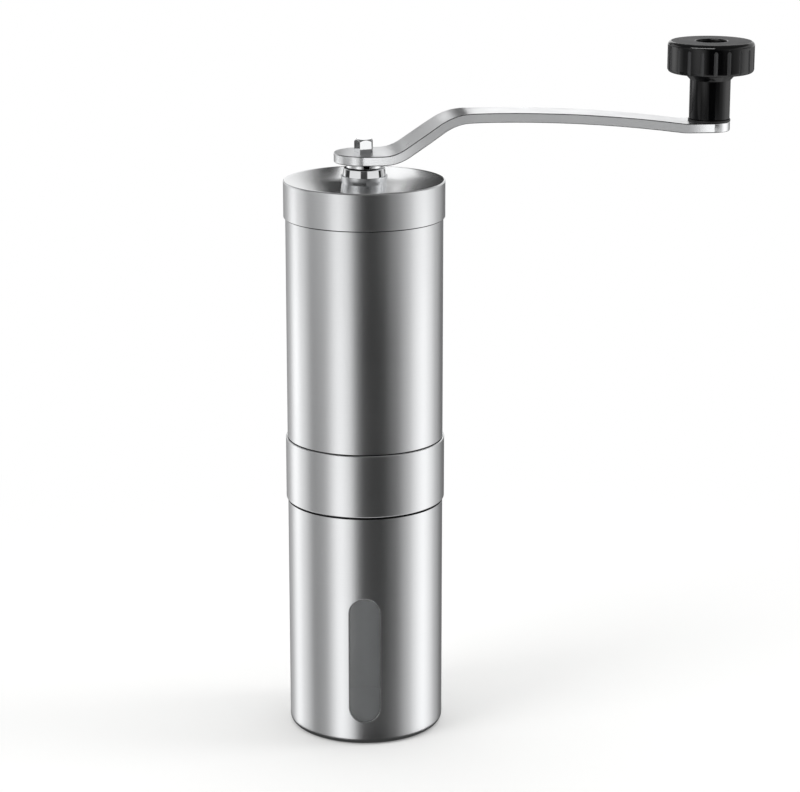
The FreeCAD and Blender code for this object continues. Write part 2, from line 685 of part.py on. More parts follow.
def lid():
    """Pressed lid with a shallow dish, and the polished bush that the shaft passes through."""
    rim = "lid_r - lid_rim"
    hole = "lid_bush_d / 2 - lid_bush_flange"
    shell = turned("lid_shell", [
        ("sleeve_r", "lid_bottom"), ("lid_r", "lid_bottom"), ("lid_r", "lid_top"), (rim, "lid_top"),
        (f"{hole} + lid_bush_d / 2", "lid_centre"), (hole, "lid_centre"), (hole, "lid_centre - lid_wall"),
        (f"{hole} + lid_bush_d / 2", "lid_centre - lid_wall"), (rim, "lid_top - lid_wall"),
        ("sleeve_r", "lid_top - lid_wall")])
    rounded(shell, "lid_round", [("lid_r", "lid_top")])
    spigot = "lid_bush_d / 2 - lid_bush_flange - press_gap"
    bush = turned("lid_bush", [
        ("bush_bore_r", "lid_centre - lid_bush_spigot"), (spigot, "lid_centre - lid_bush_spigot"),
        (spigot, "lid_centre"), ("lid_bush_step_d / 2", "lid_centre"),
        ("lid_bush_step_d / 2", "lid_centre + lid_bush_step"), ("lid_bush_d / 2", "lid_centre + lid_bush_step"),
        ("lid_bush_d / 2", "bush_top"), ("bush_bore_r", "bush_top")])
    rounded(bush, "lid_round", [("lid_bush_step_d / 2", "lid_centre + lid_bush_step"),
                                ("lid_bush_d / 2", "bush_top")])
    return [shell, bush]


def crank_arm():
    """Bent flat bar, wide at the hub and slimmer towards the grip, with a five-sided hole and a round one."""
    half = size("arm_thick / 2")
    over, over_end = arm_edge(half)
    under, under_end = arm_edge(-half)
    caps = [Part.LineSegment(over_end, under_end), Part.LineSegment(over[0].StartPoint, under[0].StartPoint)]
    side = Part.Face(Part.Wire(Part.__sortEdges__([edge.toShape() for edge in over + under + caps])))
    width = size("arm_hub_d")
    bar = side.translated(V(0, -width, 0)).extrude(V(0, 2 * width, 0))
    hub, neck, grip = size("arm_hub_d / 2"), size("arm_neck_width / 2"), size("arm_grip_d / 2")
    reach, neck_at, shoulder = size("arm_reach"), size("arm_neck_at"), size("arm_shoulder_at")
    near = [V(0, -hub, 0), V(shoulder, -hub, 0), V(neck_at, -neck, 0), V(reach, -grip, 0)]
    far = [V(point.x, -point.y, 0) for point in reversed(near)]
    curve_near = Part.BezierCurve()
    blend_at = (shoulder + neck_at) / 2
    curve_near.setPoles([near[1], V(blend_at, -hub, 0), V(blend_at, -neck, 0), near[2]])
    curve_far = Part.BezierCurve()
    curve_far.setPoles([V(pole.x, -pole.y, 0) for pole in reversed(curve_near.getPoles())])
    outline = [Part.LineSegment(near[0], near[1]), curve_near, Part.LineSegment(near[2], near[3]),
               Part.Arc(near[3], V(reach + grip, 0, 0), far[0]), Part.LineSegment(far[0], far[1]), curve_far,
               Part.LineSegment(far[2], far[3]), Part.Arc(far[3], V(-hub, 0, 0), near[0])]
    plan = Part.Face(Part.Wire([edge.toShape() for edge in outline]))
    deep = size("arm_over + arm_reach")
    bar = bar.common(plan.extrude(V(0, 0, deep)))
    corner = size("tip_corner_d / 2 + run_gap")
    fifths = [math.radians(size("tip_turn_angle") + 72 * index) for index in range(6)]
    hole = Part.makePolygon([V(corner * math.cos(angle), corner * math.sin(angle), 0) for angle in fifths])
    bar = bar.cut(Part.Face(hole).extrude(V(0, 0, deep)))
    bar = bar.cut(Part.makeCylinder(size("screw_r + press_gap"), deep, V(reach, 0, 0)))
    bar = bar.removeSplitter()
    return on_crank(shaped("crank_arm", bar))


def crank_boss():
    """Round boss under the arm's hub, with a five-sided socket."""
    blank = cylinder("boss_blank", "boss_d / 2", "bush_top + boss_clear", "boss_height")
    socket = five_sided("boss_socket", "tip_corner_d / 2 + run_gap", "bush_top", "2 * boss_height")
    return on_crank(trimmed("crank_boss", blank, socket))


def knob():
    """Moulded grip: a fluted head on a plain stem, with a recess for the screw's head."""
    head_bottom = "knob_top - knob_head_height"
    grip = turned("knob", [
        ("knob_bore_r", "knob_bottom"), ("knob_stem_d / 2", "knob_bottom"),
        ("knob_stem_d / 2", f"{head_bottom} - knob_flare_height"), ("knob_flare_d / 2", head_bottom),
        ("knob_head_d / 2", head_bottom), ("knob_head_d / 2", "knob_top"), ("knob_recess_d / 2", "knob_top"),
        ("knob_recess_d / 2", "knob_top - knob_recess"), ("knob_bore_r", "knob_top - knob_recess")])
    rounded(grip, "knob_round", [("knob_head_d / 2", "knob_top"), ("knob_head_d / 2", head_bottom)])
    sketch = grip.newObject("Sketcher::SketchObject", "knob_flute_outline")
    plane = next(f for f in grip.Origin.OriginFeatures if f.Role == "XY_Plane")
    sketch.AttachmentSupport = [(plane, "")]
    sketch.MapMode = "FlatFace"
    sketch.addGeometry(Part.Circle(V(size("knob_head_d / 2"), 0, 0), V(0, 0, 1), size("knob_flute_d / 2")))
    sketch.addConstraint(Sketcher.Constraint("PointOnObject", 0, 3, -1))
    place = sketch.addConstraint(Sketcher.Constraint("DistanceX", -1, 1, 0, 3, size("knob_head_d / 2")))
    sketch.setExpression(f"Constraints[{place}]", spelled("knob_head_d / 2 + knob_flute_d / 5"))
    width = sketch.addConstraint(Sketcher.Constraint("Radius", 0, size("knob_flute_d / 2")))
    sketch.setExpression(f"Constraints[{width}]", spelled("knob_flute_d / 2"))
    pocket = grip.newObject("PartDesign::Pocket", "knob_flute")
    pocket.Profile = sketch
    pocket.Type = 1
    pocket.Midplane = True
    doc.recompute()
    flutes = grip.newObject("PartDesign::PolarPattern", "knob_flutes_round")
    flutes.Originals = [pocket]
    flutes.Axis = (sketch, ["N_Axis"])
    flutes.Angle = 360
    bind(flutes, Occurrences="knob_flutes")
    grip.Tip = flutes
    doc.recompute()
    return on_crank(grip, "arm_reach")


def knob_fixings():
    """Shoulder screw that the knob turns on, and the washer on the arm."""
    screw = turned("screw_blank", [
        ("0", "arm_grip_top - arm_thick"), ("screw_r", "arm_grip_top - arm_thick"),
        ("screw_r", "screw_head_bottom"),
        ("screw_head_d / 2", "screw_head_bottom"), ("screw_head_d / 2", "screw_head_bottom + screw_head"),
        ("0", "screw_head_bottom + screw_head")])
    slot = bind(doc.addObject("Part::Box", "screw_slot_block"), Length="screw_head_d * 2",
                Width="screw_slot", Height="screw_head",
                Placement__Base__x="-screw_head_d", Placement__Base__y="-screw_slot / 2",
                Placement__Base__z="screw_head_bottom + screw_head / 2")
    screw = on_crank(trimmed("knob_screw", screw, slot), "arm_reach")
    ring = on_crank(washer("knob_washer", "screw_r + knob_run_gap", "knob_washer_d / 2", "arm_grip_top",
                           "knob_washer_thick"), "arm_reach")
    return [screw, ring]


pieces = [catch_cup(), window_lens(), *body_shells(), burr_housing(), *bearings()]
pieces.append(washer("burr_retainer", "ring_mouth_r + retainer_lip", "housing_r",
                     "retainer_bottom", "retainer_thick"))
pieces.append(ring_burr())
pieces += lid()
pieces.append(main_shaft())
pieces.append(washer("thrust_washer", "shaft_r + run_gap", "bush_flange_d / 2",
                     "hub_top + bush_flange + run_gap"))
pieces.append(washer("shaft_clip", "shaft_r - clip_groove + press_gap / 2", "clip_d / 2",
                     "clip_bottom", "clip_thick"))
pieces.append(washer("spring_seat", "shaft_r + run_gap", "bush_flange_d / 2",
                     "seat_washer_top - washer_thick"))
pieces.append(burr_spring())
pieces.append(washer("spring_washer", "shaft_r + run_gap", "core_r", "washer_bottom"))
pieces += [cone_burr(), burr_core()]
pieces.append(washer("click_plate", "shaft_r + run_gap", "plate_d / 2", "plate_top - washer_thick"))
pieces += adjuster()
pieces += [crank_arm(), crank_boss(), knob(), *knob_fixings()]
doc.recompute()

# Every object must have built, and every piece must be a valid solid.
for thing in doc.Objects:
    if {"Invalid", "Error"} & set(thing.State):
        raise RuntimeError(f"{thing.Name} failed: {thing.State}")
os.makedirs("parts", exist_ok=True)
for piece in pieces:
    shape = piece.Shape
    if shape.isNull() or not shape.isValid() or not shape.Solids:
        raise RuntimeError(f"{piece.Label} has no valid solid")
    box = shape.BoundBox
    print("%-16s %2d solid, %9.2f mm3," % (piece.Label, len(shape.Solids), shape.Volume),
          "z %.2f to %.2f" % (box.ZMin, box.ZMax))
    shape.exportStep(f"parts/{piece.Label}.step")
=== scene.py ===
# %% [markdown]
# # A hand crank coffee grinder
# The imported model gives the grinder's solids and the way its pieces move. This lesson dresses those solids:
# it turns the steel shells afresh so that they reflect cleanly, softens the edges of the bent crank,
# and gives each piece the finish of the real material. Painted shade darkens the seams and the crank's long
# edges, and a painted highlight lightens the knob's top and flutes.

import math

import bmesh
import bpy
from mathutils import Matrix, Vector


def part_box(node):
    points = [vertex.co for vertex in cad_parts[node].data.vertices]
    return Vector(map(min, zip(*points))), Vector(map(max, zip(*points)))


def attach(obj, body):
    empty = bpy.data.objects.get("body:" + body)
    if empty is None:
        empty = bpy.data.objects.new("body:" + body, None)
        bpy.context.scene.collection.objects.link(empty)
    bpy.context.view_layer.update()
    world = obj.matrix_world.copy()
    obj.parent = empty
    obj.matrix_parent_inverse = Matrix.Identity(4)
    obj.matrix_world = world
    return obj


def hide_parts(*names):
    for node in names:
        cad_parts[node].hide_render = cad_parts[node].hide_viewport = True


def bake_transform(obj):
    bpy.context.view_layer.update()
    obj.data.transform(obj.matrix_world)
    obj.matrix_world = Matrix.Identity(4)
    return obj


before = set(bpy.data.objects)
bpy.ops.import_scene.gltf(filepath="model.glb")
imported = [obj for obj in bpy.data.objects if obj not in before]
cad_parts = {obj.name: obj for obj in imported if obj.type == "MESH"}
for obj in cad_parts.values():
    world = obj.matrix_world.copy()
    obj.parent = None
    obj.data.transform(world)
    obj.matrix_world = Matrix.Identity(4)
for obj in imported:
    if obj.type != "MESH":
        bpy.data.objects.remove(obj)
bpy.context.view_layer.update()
MM = 0.001

# %% [markdown]
# Every turned piece starts as half of its own cross-section. A spin about the shaft's line makes the solid,
# and a bevel on chosen rims gives the small radius that a pressed or turned edge has.
# Smooth shading with hard edges marked by their angle keeps the reflections straight.

# %% Modelling helpers
TURN_STEPS = 160
SHARP = math.radians(32)


def level(node, top=True):
    """Height of a solid's top or bottom, in millimetres."""
    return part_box(node)[1 if top else 0][2] / MM


def turn(outline, steps=TURN_STEPS):
    """Spins an outline of (radius, height) points in millimetres about Z."""
    mesh = bmesh.new()
    points = [mesh.verts.new((radius * MM, 0, height * MM)) for radius, height in outline]
    edges = [mesh.edges.new(pair) for pair in zip(points, points[1:])]
    if outline[0][0] or outline[-1][0]:
        edges.append(mesh.edges.new((points[-1], points[0])))
    bmesh.ops.spin(mesh, geom=points + edges, cent=(0, 0, 0), axis=(0, 0, 1), angle=2 * math.pi, steps=steps,
                   use_merge=True)
    bmesh.ops.remove_doubles(mesh, verts=mesh.verts[:], dist=1e-6)
    bmesh.ops.dissolve_degenerate(mesh, edges=mesh.edges[:], dist=1e-7)
    bmesh.ops.recalc_face_normals(mesh, faces=mesh.faces[:])
    return mesh


def round_rims(mesh, radius, rims, segments=4):
    """Bevels the rims given as (radius, height) pairs in millimetres."""
    chosen = []
    for edge in mesh.edges:
        for rim, height in rims:
            if all(abs(math.hypot(v.co.x, v.co.y) / MM - rim) < 0.02 and abs(v.co.z / MM - height) < 0.02
                   for v in edge.verts):
                chosen.append(edge)
    bmesh.ops.bevel(mesh, geom=chosen, offset=radius * MM, affect="EDGES", segments=segments, profile=0.5,
                    material=-1)


def solid_copy(node):
    """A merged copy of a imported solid, with its flat triangles joined."""
    mesh = bmesh.new()
    mesh.from_mesh(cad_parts[node].data)
    bmesh.ops.remove_doubles(mesh, verts=mesh.verts[:], dist=2e-6)
    bmesh.ops.dissolve_limit(mesh, angle_limit=math.radians(0.5), verts=mesh.verts[:], edges=mesh.edges[:])
    return mesh


def soften(mesh, radius, test=None, segments=3, clamp=True):
    """Bevels the hard edges that pass the test."""
    hard = [edge for edge in mesh.edges if len(edge.link_faces) == 2 and edge.calc_face_angle(0) > SHARP]
    chosen = [edge for edge in hard if test is None or test(edge)]
    bmesh.ops.bevel(mesh, geom=chosen, offset=radius * MM, affect="EDGES", segments=segments, profile=0.5,
                    material=-1, clamp_overlap=clamp)


def even_normals(piece):
    """Weights the normals by face area, so that flat faces stay flat beside a rounded edge."""
    piece.modifiers.new("even", "WEIGHTED_NORMAL").keep_sharp = True
    piece.data = bpy.data.meshes.new_from_object(piece.evaluated_get(bpy.context.evaluated_depsgraph_get()))
    piece.modifiers.clear()


def place(mesh, name, body, finishes, nodes=()):
    """Makes the object, marks its hard edges, gives it its finishes, ties it to its body and hides its
    solids.
    """
    for face in mesh.faces:
        face.smooth = True
    for edge in mesh.edges:
        edge.smooth = not (len(edge.link_faces) == 2 and edge.calc_face_angle(0) > SHARP)
    data = bpy.data.meshes.new(name)
    mesh.to_mesh(data)
    mesh.free()
    piece = bpy.data.objects.new(name, data)
    bpy.context.scene.collection.objects.link(piece)
    for finish in finishes:
        data.materials.append(finish)
    even_normals(piece)
    if body:
        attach(piece, body)
    if nodes:
        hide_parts(*nodes)
    print(name, "faces:", len(piece.data.polygons))
    return piece


# %% [markdown]
# A finish is a node material. One function adds a node with its settings and links, and one turns a hex
# colour into the linear values that the shader needs.

# %% Material helpers
def linear(hex_colour):
    """Linear RGBA from an sRGB hex value."""
    channels = [int(hex_colour[i:i + 2], 16) / 255 for i in (1, 3, 5)]
    return [c / 12.92 if c <= 0.04045 else ((c + 0.055) / 1.055) ** 2.4 for c in channels] + [1.0]


def add(tree, kind, inputs=None, **settings):
    """Adds a node, sets it up and links what is given as a socket."""
    node = tree.nodes.new("ShaderNode" + kind)
    for setting, value in settings.items():
        setattr(node, setting, value)
    for socket, value in (inputs or {}).items():
        if isinstance(value, bpy.types.NodeSocket):
            tree.links.new(value, node.inputs[socket])
        else:
            node.inputs[socket].default_value = value
    return node


def finish(name, **sockets):
    """A new material with a Principled shader and those constant sockets."""
    material = bpy.data.materials.new(name)
    material.use_nodes = True
    tree = material.node_tree
    shader = tree.nodes["Principled BSDF"]
    for socket, value in sockets.items():
        shader.inputs[socket.replace("_", " ")].default_value = value
    return material, tree, shader


def spread(tree, factor, low, high):
    """Maps a 0 to 1 pattern onto a range."""
    return add(tree, "MapRange", {"Value": factor, "To Min": low, "To Max": high}).outputs["Result"]


# %% [markdown]
# The shells are stainless steel with a satin finish: a fine abrasive belt runs round the tube, so the brush
# lines lie level, and reflections smear up and down. The lines are about 0.1 mm wide on the real tube. They
# are drawn 0.25 mm wide here so that they show.

# %% Steel finishes
BRUSH_LINE = 0.25


def brushed_steel(name, colour, roughness, depth, stretch):
    """Satin stainless steel, brushed round the Z axis."""
    material, tree, shader = finish(name, Metallic=1.0, Anisotropic=stretch, Anisotropic_Rotation=0.25)
    place_in = add(tree, "TexCoord").outputs["Object"]
    lines = add(tree, "Mapping", {"Vector": place_in, "Scale": (12, 12, 1 / (BRUSH_LINE * MM))})
    grain = add(tree, "TexNoise", {"Vector": lines.outputs["Vector"], "Scale": 1.0, "Detail": 3.0,
                                   "Roughness": 0.6})
    cloud = add(tree, "TexNoise", {"Vector": place_in, "Scale": 1 / (30 * MM), "Detail": 2.0})
    rough = add(tree, "Math", {0: spread(tree, grain.outputs["Fac"], roughness - 0.015, roughness + 0.015),
                               1: spread(tree, cloud.outputs["Fac"], -0.03, 0.03)}, operation="ADD")
    tree.links.new(rough.outputs["Value"], shader.inputs["Roughness"])
    tone = add(tree, "Mix", {"Factor": grain.outputs["Fac"], "A": linear(colour[0]), "B": linear(colour[1])},
               data_type="RGBA")
    tree.links.new(tone.outputs["Result"], shader.inputs["Base Color"])
    bump = add(tree, "Bump", {"Strength": depth, "Distance": 0.02 * MM, "Height": grain.outputs["Fac"]})
    tree.links.new(bump.outputs["Normal"], shader.inputs["Normal"])
    around = add(tree, "Tangent", direction_type="RADIAL", axis="Z")
    tree.links.new(around.outputs["Tangent"], shader.inputs["Tangent"])
    return material


def polished_steel(name, colour, roughness):
    """Buffed stainless steel with the faint haze and hairlines that polishing leaves."""
    material, tree, shader = finish(name, Metallic=1.0)
    place_in = add(tree, "TexCoord").outputs["Object"]
    haze = add(tree, "TexNoise", {"Vector": place_in, "Scale": 1 / (6 * MM), "Detail": 4.0})
    gloss = spread(tree, haze.outputs["Fac"], roughness * 0.7, roughness * 1.4)
    tree.links.new(gloss, shader.inputs["Roughness"])
    tone = add(tree, "Mix", {"Factor": haze.outputs["Fac"], "A": linear(colour[0]), "B": linear(colour[1])},
               data_type="RGBA")
    tree.links.new(tone.outputs["Result"], shader.inputs["Base Color"])
    hair = add(tree, "Mapping", {"Vector": place_in,
                                 "Scale": (1 / (20 * MM), 1 / (0.4 * MM), 1 / (0.4 * MM))})
    lines = add(tree, "TexNoise", {"Vector": hair.outputs["Vector"], "Scale": 1.0, "Detail": 2.0})
    bump = add(tree, "Bump", {"Strength": 0.03, "Distance": 0.02 * MM, "Height": lines.outputs["Fac"]})
    tree.links.new(bump.outputs["Normal"], shader.inputs["Normal"])
    return material


shell_steel = brushed_steel("satin_stainless_steel", ("#d8d9da", "#dddedf"), 0.30, 0.02, 0.6)
lid_steel = brushed_steel("circular_brushed_stainless_steel", ("#d7d8d9", "#dedfe0"), 0.14, 0.02, 0.8)
bright_steel = polished_steel("buffed_stainless_steel", ("#dcddde", "#e6e7e8"), 0.045)
arm_steel = polished_steel("satin_polished_stainless_steel", ("#e2e3e4", "#eaebec"), 0.30)
edge_steel = polished_steel("tumbled_edge_stainless_steel", ("#d8d9da", "#e2e3e4"), 0.45)
# Dark steel for the crank's eased long edges: a painted dark reflection line along each edge.
painted_dark_edge_steel = polished_steel("stainless_steel_painted_dark_on_edges", ("#3e3f40", "#4a4b4c"), 0.35)
shaft_steel = polished_steel("ground_stainless_steel", ("#d6d7d8", "#e0e1e2"), 0.05)
small_steel = polished_steel("stamped_stainless_steel", ("#b4b5b6", "#c4c5c6"), 0.25)
spring_steel = polished_steel("drawn_spring_steel", ("#9fa0a1", "#b1b2b3"), 0.28)
# Dark steel for the seam grooves: painted shade, standing for the shadow in the gaps.
seam_shade_steel = polished_steel("steel_painted_with_seam_shade", ("#2b2b2c", "#343435"), 0.55)
print("steel finishes made")

# %% [markdown]
# The crank's edges are buffed at the hub and at the grip, and only tumbled along the run between them.
# So their roughness follows the distance from the shaft, in millimetres.

# %% Crank edge finish
BUFFED_TO, TUMBLED_FROM, TUMBLED_TO, BUFFED_FROM = 9, 20, 96, 103
HUB_ROUGHNESS, RUN_ROUGHNESS, GRIP_ROUGHNESS = 0.20, 0.45, 0.10
tree = edge_steel.node_tree
flat_place = add(tree, "VectorMath", {0: add(tree, "TexCoord").outputs["Object"], 1: (1, 1, 0)},
                 operation="MULTIPLY")
along = add(tree, "VectorMath", {0: flat_place.outputs["Vector"]}, operation="LENGTH").outputs["Value"]
leaving = add(tree, "MapRange", {"Value": along, "From Min": BUFFED_TO * MM, "From Max": TUMBLED_FROM * MM,
                                 "To Min": HUB_ROUGHNESS, "To Max": RUN_ROUGHNESS})
nearing = add(tree, "MapRange", {"Value": along, "From Min": TUMBLED_TO * MM, "From Max": BUFFED_FROM * MM,
                                 "To Min": RUN_ROUGHNESS, "To Max": GRIP_ROUGHNESS})
polish = add(tree, "Math", {0: leaving.outputs["Result"], 1: nearing.outputs["Result"]}, operation="MINIMUM")
tree.links.new(polish.outputs[0], tree.nodes["Principled BSDF"].inputs["Roughness"])
print("crank edges: buffed to", BUFFED_TO, "mm and from", BUFFED_FROM, "mm")

# %% [markdown]
# The knob, dial, core and housing are moulded plastic. The mould leaves a fine texture, finest on the gloss
# knob, and the burrs are unglazed ceramic with a soft grain and slight translucence.

# %% Plastic, ceramic, brass and acrylic finishes
def moulded(name, colours, roughness, grain_mm, depth, shine=0.5):
    """Moulded plastic with a fine mould texture and a slow change of gloss."""
    material, tree, shader = finish(name, IOR=1.5, Specular_IOR_Level=shine)
    place_in = add(tree, "TexCoord").outputs["Object"]
    grain = add(tree, "TexNoise", {"Vector": place_in, "Scale": 1 / (grain_mm * MM), "Detail": 3.0})
    cloud = add(tree, "TexNoise", {"Vector": place_in, "Scale": 1 / (9 * MM), "Detail": 2.0})
    gloss = spread(tree, cloud.outputs["Fac"], roughness * 0.8, roughness * 1.25)
    tree.links.new(gloss, shader.inputs["Roughness"])
    tone = add(tree, "Mix", {"Factor": cloud.outputs["Fac"], "A": linear(colours[0]),
                             "B": linear(colours[1])}, data_type="RGBA")
    tree.links.new(tone.outputs["Result"], shader.inputs["Base Color"])
    bump = add(tree, "Bump", {"Strength": depth, "Distance": 0.03 * MM, "Height": grain.outputs["Fac"]})
    tree.links.new(bump.outputs["Normal"], shader.inputs["Normal"])
    return material


knob_gloss = moulded("gloss_black_abs", ("#050506", "#080809"), 0.09, 0.8, 0.02, 0.30)
# The satin top and flutes are a lighter grey than the black moulding: a painted highlight.
knob_satin_painted_highlight = moulded("satin_black_abs_painted_highlight", ("#3a3a3b", "#424243"), 0.52, 0.4, 0.06, 0.20)
dial_black = moulded("matt_black_nylon", ("#151516", "#1f1f20"), 0.45, 0.4, 0.20)
core_black = moulded("gloss_black_nylon", ("#0e0e0f", "#171718"), 0.25, 0.6, 0.08)
housing_black = moulded("black_polypropylene", ("#18181a", "#222224"), 0.42, 0.5, 0.15)
retainer_grey = moulded("grey_abs", ("#8f9193", "#9c9ea0"), 0.40, 0.5, 0.15)
nylon_white = moulded("white_nylon", ("#e6e5e0", "#efeeea"), 0.42, 0.5, 0.12)
screw_black = polished_steel("blackened_steel", ("#1d1d1f", "#2a2a2c"), 0.30)
turned_brass = polished_steel("turned_brass", ("#b58b45", "#c79d57"), 0.22)
ceramic = moulded("unglazed_white_ceramic", ("#e9e8e4", "#f3f2ef"), 0.48, 0.35, 0.25)
ceramic_shader = ceramic.node_tree.nodes["Principled BSDF"]
ceramic_shader.inputs["Subsurface Weight"].default_value = 0.15
ceramic_shader.inputs["Subsurface Scale"].default_value = 1.0 * MM
ceramic_shader.inputs["Subsurface Radius"].default_value = (1.0, 0.9, 0.8)


def smoke_acrylic():
    """Clear acrylic with a grey tint, moulded and lightly polished."""
    material, tree, shader = finish("smoke_clear_acrylic", IOR=1.49, Transmission_Weight=0.78)
    place_in = add(tree, "TexCoord").outputs["Object"]
    ripple = add(tree, "TexNoise", {"Vector": place_in, "Scale": 1 / (8 * MM), "Detail": 2.0})
    tone = add(tree, "Mix", {"Factor": ripple.outputs["Fac"], "A": linear("#b4b6b7"), "B": linear("#bec0c1")},
               data_type="RGBA")
    tree.links.new(tone.outputs["Result"], shader.inputs["Base Color"])
    tree.links.new(spread(tree, ripple.outputs["Fac"], 0.03, 0.08), shader.inputs["Roughness"])
    return material


acrylic = smoke_acrylic()
print("plastic, ceramic, brass and acrylic finishes made")

# %% [markdown]
# The upper tube and its band are plain turned shells. The band's edges are rolled. Shallow grooves in the
# tube under the lid and over the band, and in the cup under the band, are painted dark steel as painted
# shade, so a thin dark line shows at each seam.

# %% Hopper tube and band
TUBE_RADIUS = 23.5
TUBE_WALL = 0.8
SEAM_DEPTH = 0.35
LID_SEAM, BAND_SEAM, CUP_SEAM = 0.35, 0.28, 0.75
tube_low, tube_high = level("hopper_tube", False), level("hopper_tube")
band_low, band_high = level("mid_band", False), level("mid_band")
lid_low, lid_high = level("lid_shell", False), level("lid_shell")


def groove(low, high):
    """Outline points of a shallow groove in the tube's outside, from bottom to top."""
    floor = TUBE_RADIUS - SEAM_DEPTH
    return [(TUBE_RADIUS, low), (floor, low), (floor, high), (TUBE_RADIUS, high)]


def paint_seam_shade(piece, *bands):
    """Paints the faces inside the seams dark steel, as painted shade in the gaps."""
    piece.data.materials.append(seam_shade_steel)
    for polygon in piece.data.polygons:
        middle = polygon.center
        if math.hypot(middle.x, middle.y) / MM > TUBE_RADIUS - 0.02:
            continue
        if math.hypot(middle.x, middle.y) / MM < TUBE_RADIUS - SEAM_DEPTH - 0.02:
            continue
        if any(low - 0.01 <= middle.z / MM <= high + 0.01 for low, high in bands):
            polygon.material_index = 1


lid_seam, band_seam = (lid_low - LID_SEAM, lid_low), (band_high, band_high + BAND_SEAM)
mesh = turn([(TUBE_RADIUS - TUBE_WALL, tube_low), (TUBE_RADIUS, tube_low), *groove(*band_seam),
             *groove(*lid_seam), (TUBE_RADIUS, tube_high), (TUBE_RADIUS - TUBE_WALL, tube_high)])
round_rims(mesh, 0.25, [(TUBE_RADIUS, tube_high), (TUBE_RADIUS - TUBE_WALL, tube_high)], 3)
tube = place(mesh, "hopper_tube_skin", "body", [shell_steel], ["hopper_tube"])
# The tube's grooves under the lid and over the band take the painted seam shade.
paint_seam_shade(tube, band_seam, lid_seam)

BAND_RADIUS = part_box("mid_band")[1][0] / MM
BAND_BORE = TUBE_RADIUS + 0.06
mesh = turn([(BAND_BORE, band_low), (BAND_RADIUS, band_low), (BAND_RADIUS, band_high),
             (BAND_BORE, band_high)])
round_rims(mesh, 0.3, [(BAND_RADIUS, band_low), (BAND_RADIUS, band_high)], 4)
place(mesh, "mid_band_skin", "body", [shell_steel], ["mid_band"])

# %% [markdown]
# The catch cup is drawn from sheet, so its foot has a soft radius. The window slot is cut through the front
# wall. The slot's cutter is a rounded bar, and a Boolean takes it out of the turned cup.

# %% Catch cup
WINDOW_WIDTH = 9.5
WINDOW_LOW, WINDOW_HIGH = 7.4, 46.8
CUP_FLOOR = 1.0
FOOT_RADIUS = 2.2
cup_high = level("catch_cup")


def rounded_bar(width, low, high, near, far):
    """A bar along Y with an upright obround section, in millimetres."""
    mesh = bmesh.new()
    bmesh.ops.create_cube(mesh, size=1.0)
    bmesh.ops.scale(mesh, vec=(width * MM, (far - near) * MM, (high - low) * MM), verts=mesh.verts[:])
    bmesh.ops.translate(mesh, vec=(0, (near + far) / 2 * MM, (low + high) / 2 * MM), verts=mesh.verts[:])
    corners = [edge for edge in mesh.edges if abs(edge.verts[0].co.y - edge.verts[1].co.y) > 1e-6]
    bmesh.ops.bevel(mesh, geom=corners, offset=width / 2 * MM * 0.999, affect="EDGES", segments=24,
                    profile=0.5, material=-1)
    bmesh.ops.remove_doubles(mesh, verts=mesh.verts[:], dist=1e-6)
    return mesh


def combined(base, tool, operation):
    """The base mesh less the tool, or what they share."""
    objects = []
    for mesh in (base, tool):
        data = bpy.data.meshes.new("cutting")
        mesh.to_mesh(data)
        mesh.free()
        objects.append(bpy.data.objects.new("cutting", data))
        bpy.context.scene.collection.objects.link(objects[-1])
    modifier = objects[0].modifiers.new("cut", "BOOLEAN")
    modifier.operation = operation
    modifier.solver = "EXACT"
    modifier.object = objects[1]
    result = bmesh.new()
    result.from_object(objects[0], bpy.context.evaluated_depsgraph_get())
    for thing in objects:
        data = thing.data
        bpy.data.objects.remove(thing)
        bpy.data.meshes.remove(data)
    return result


cup_seam = (band_low - CUP_SEAM, band_low)
cup = turn([(0, 0), (TUBE_RADIUS, 0), *groove(*cup_seam), (TUBE_RADIUS, cup_high),
            (TUBE_RADIUS - TUBE_WALL, cup_high), (TUBE_RADIUS - TUBE_WALL, CUP_FLOOR), (0, CUP_FLOOR)])
round_rims(cup, FOOT_RADIUS, [(TUBE_RADIUS, 0)], 8)
cup = combined(cup, rounded_bar(WINDOW_WIDTH, WINDOW_LOW, WINDOW_HIGH, -30, -15), "DIFFERENCE")


def on_slot(edge):
    """True for the slot's outer rim."""
    for vert in edge.verts:
        x, y, z = vert.co / MM
        if math.hypot(x, y) < TUBE_RADIUS - 0.1 or y > 0 or abs(x) > 0.51 * WINDOW_WIDTH:
            return False
        if not WINDOW_LOW - 0.1 < z < WINDOW_HIGH + 0.1:
            return False
    return True


def straight_normals(piece, radius):
    """Points the normals on a turned wall straight out, so that the cut in it leaves no streaks."""
    data = piece.data
    normals = [Vector()] * len(data.loops)
    for polygon in data.polygons:
        corners = [data.vertices[data.loops[i].vertex_index].co for i in polygon.loop_indices]
        on_wall = all(abs(math.hypot(c.x, c.y) / MM - radius) < 0.01 for c in corners)
        if on_wall and abs(polygon.normal.z) < 0.1:
            for i, corner in zip(polygon.loop_indices, corners):
                normals[i] = Vector((corner.x, corner.y, 0)).normalized()
    data.normals_split_custom_set(normals)


soften(cup, 0.22, on_slot, 3, False)
cup = place(cup, "catch_cup_skin", "catch", [shell_steel], ["catch_cup"])
straight_normals(cup, TUBE_RADIUS)
# The cup's groove under the band takes the painted seam shade.
paint_seam_shade(cup, cup_seam)

# %% [markdown]
# The pane follows the tube's curve. Its rim sits just under the steel, with a hair of a gap round it.

# %% Window pane
PANE_GAP = 0.1
PANE_RADIUS = TUBE_RADIUS - 0.25
FLANGE_RADIUS = TUBE_RADIUS - TUBE_WALL - 0.1
PANE_INNER = FLANGE_RADIUS - 1.2
FLANGE = 2.5


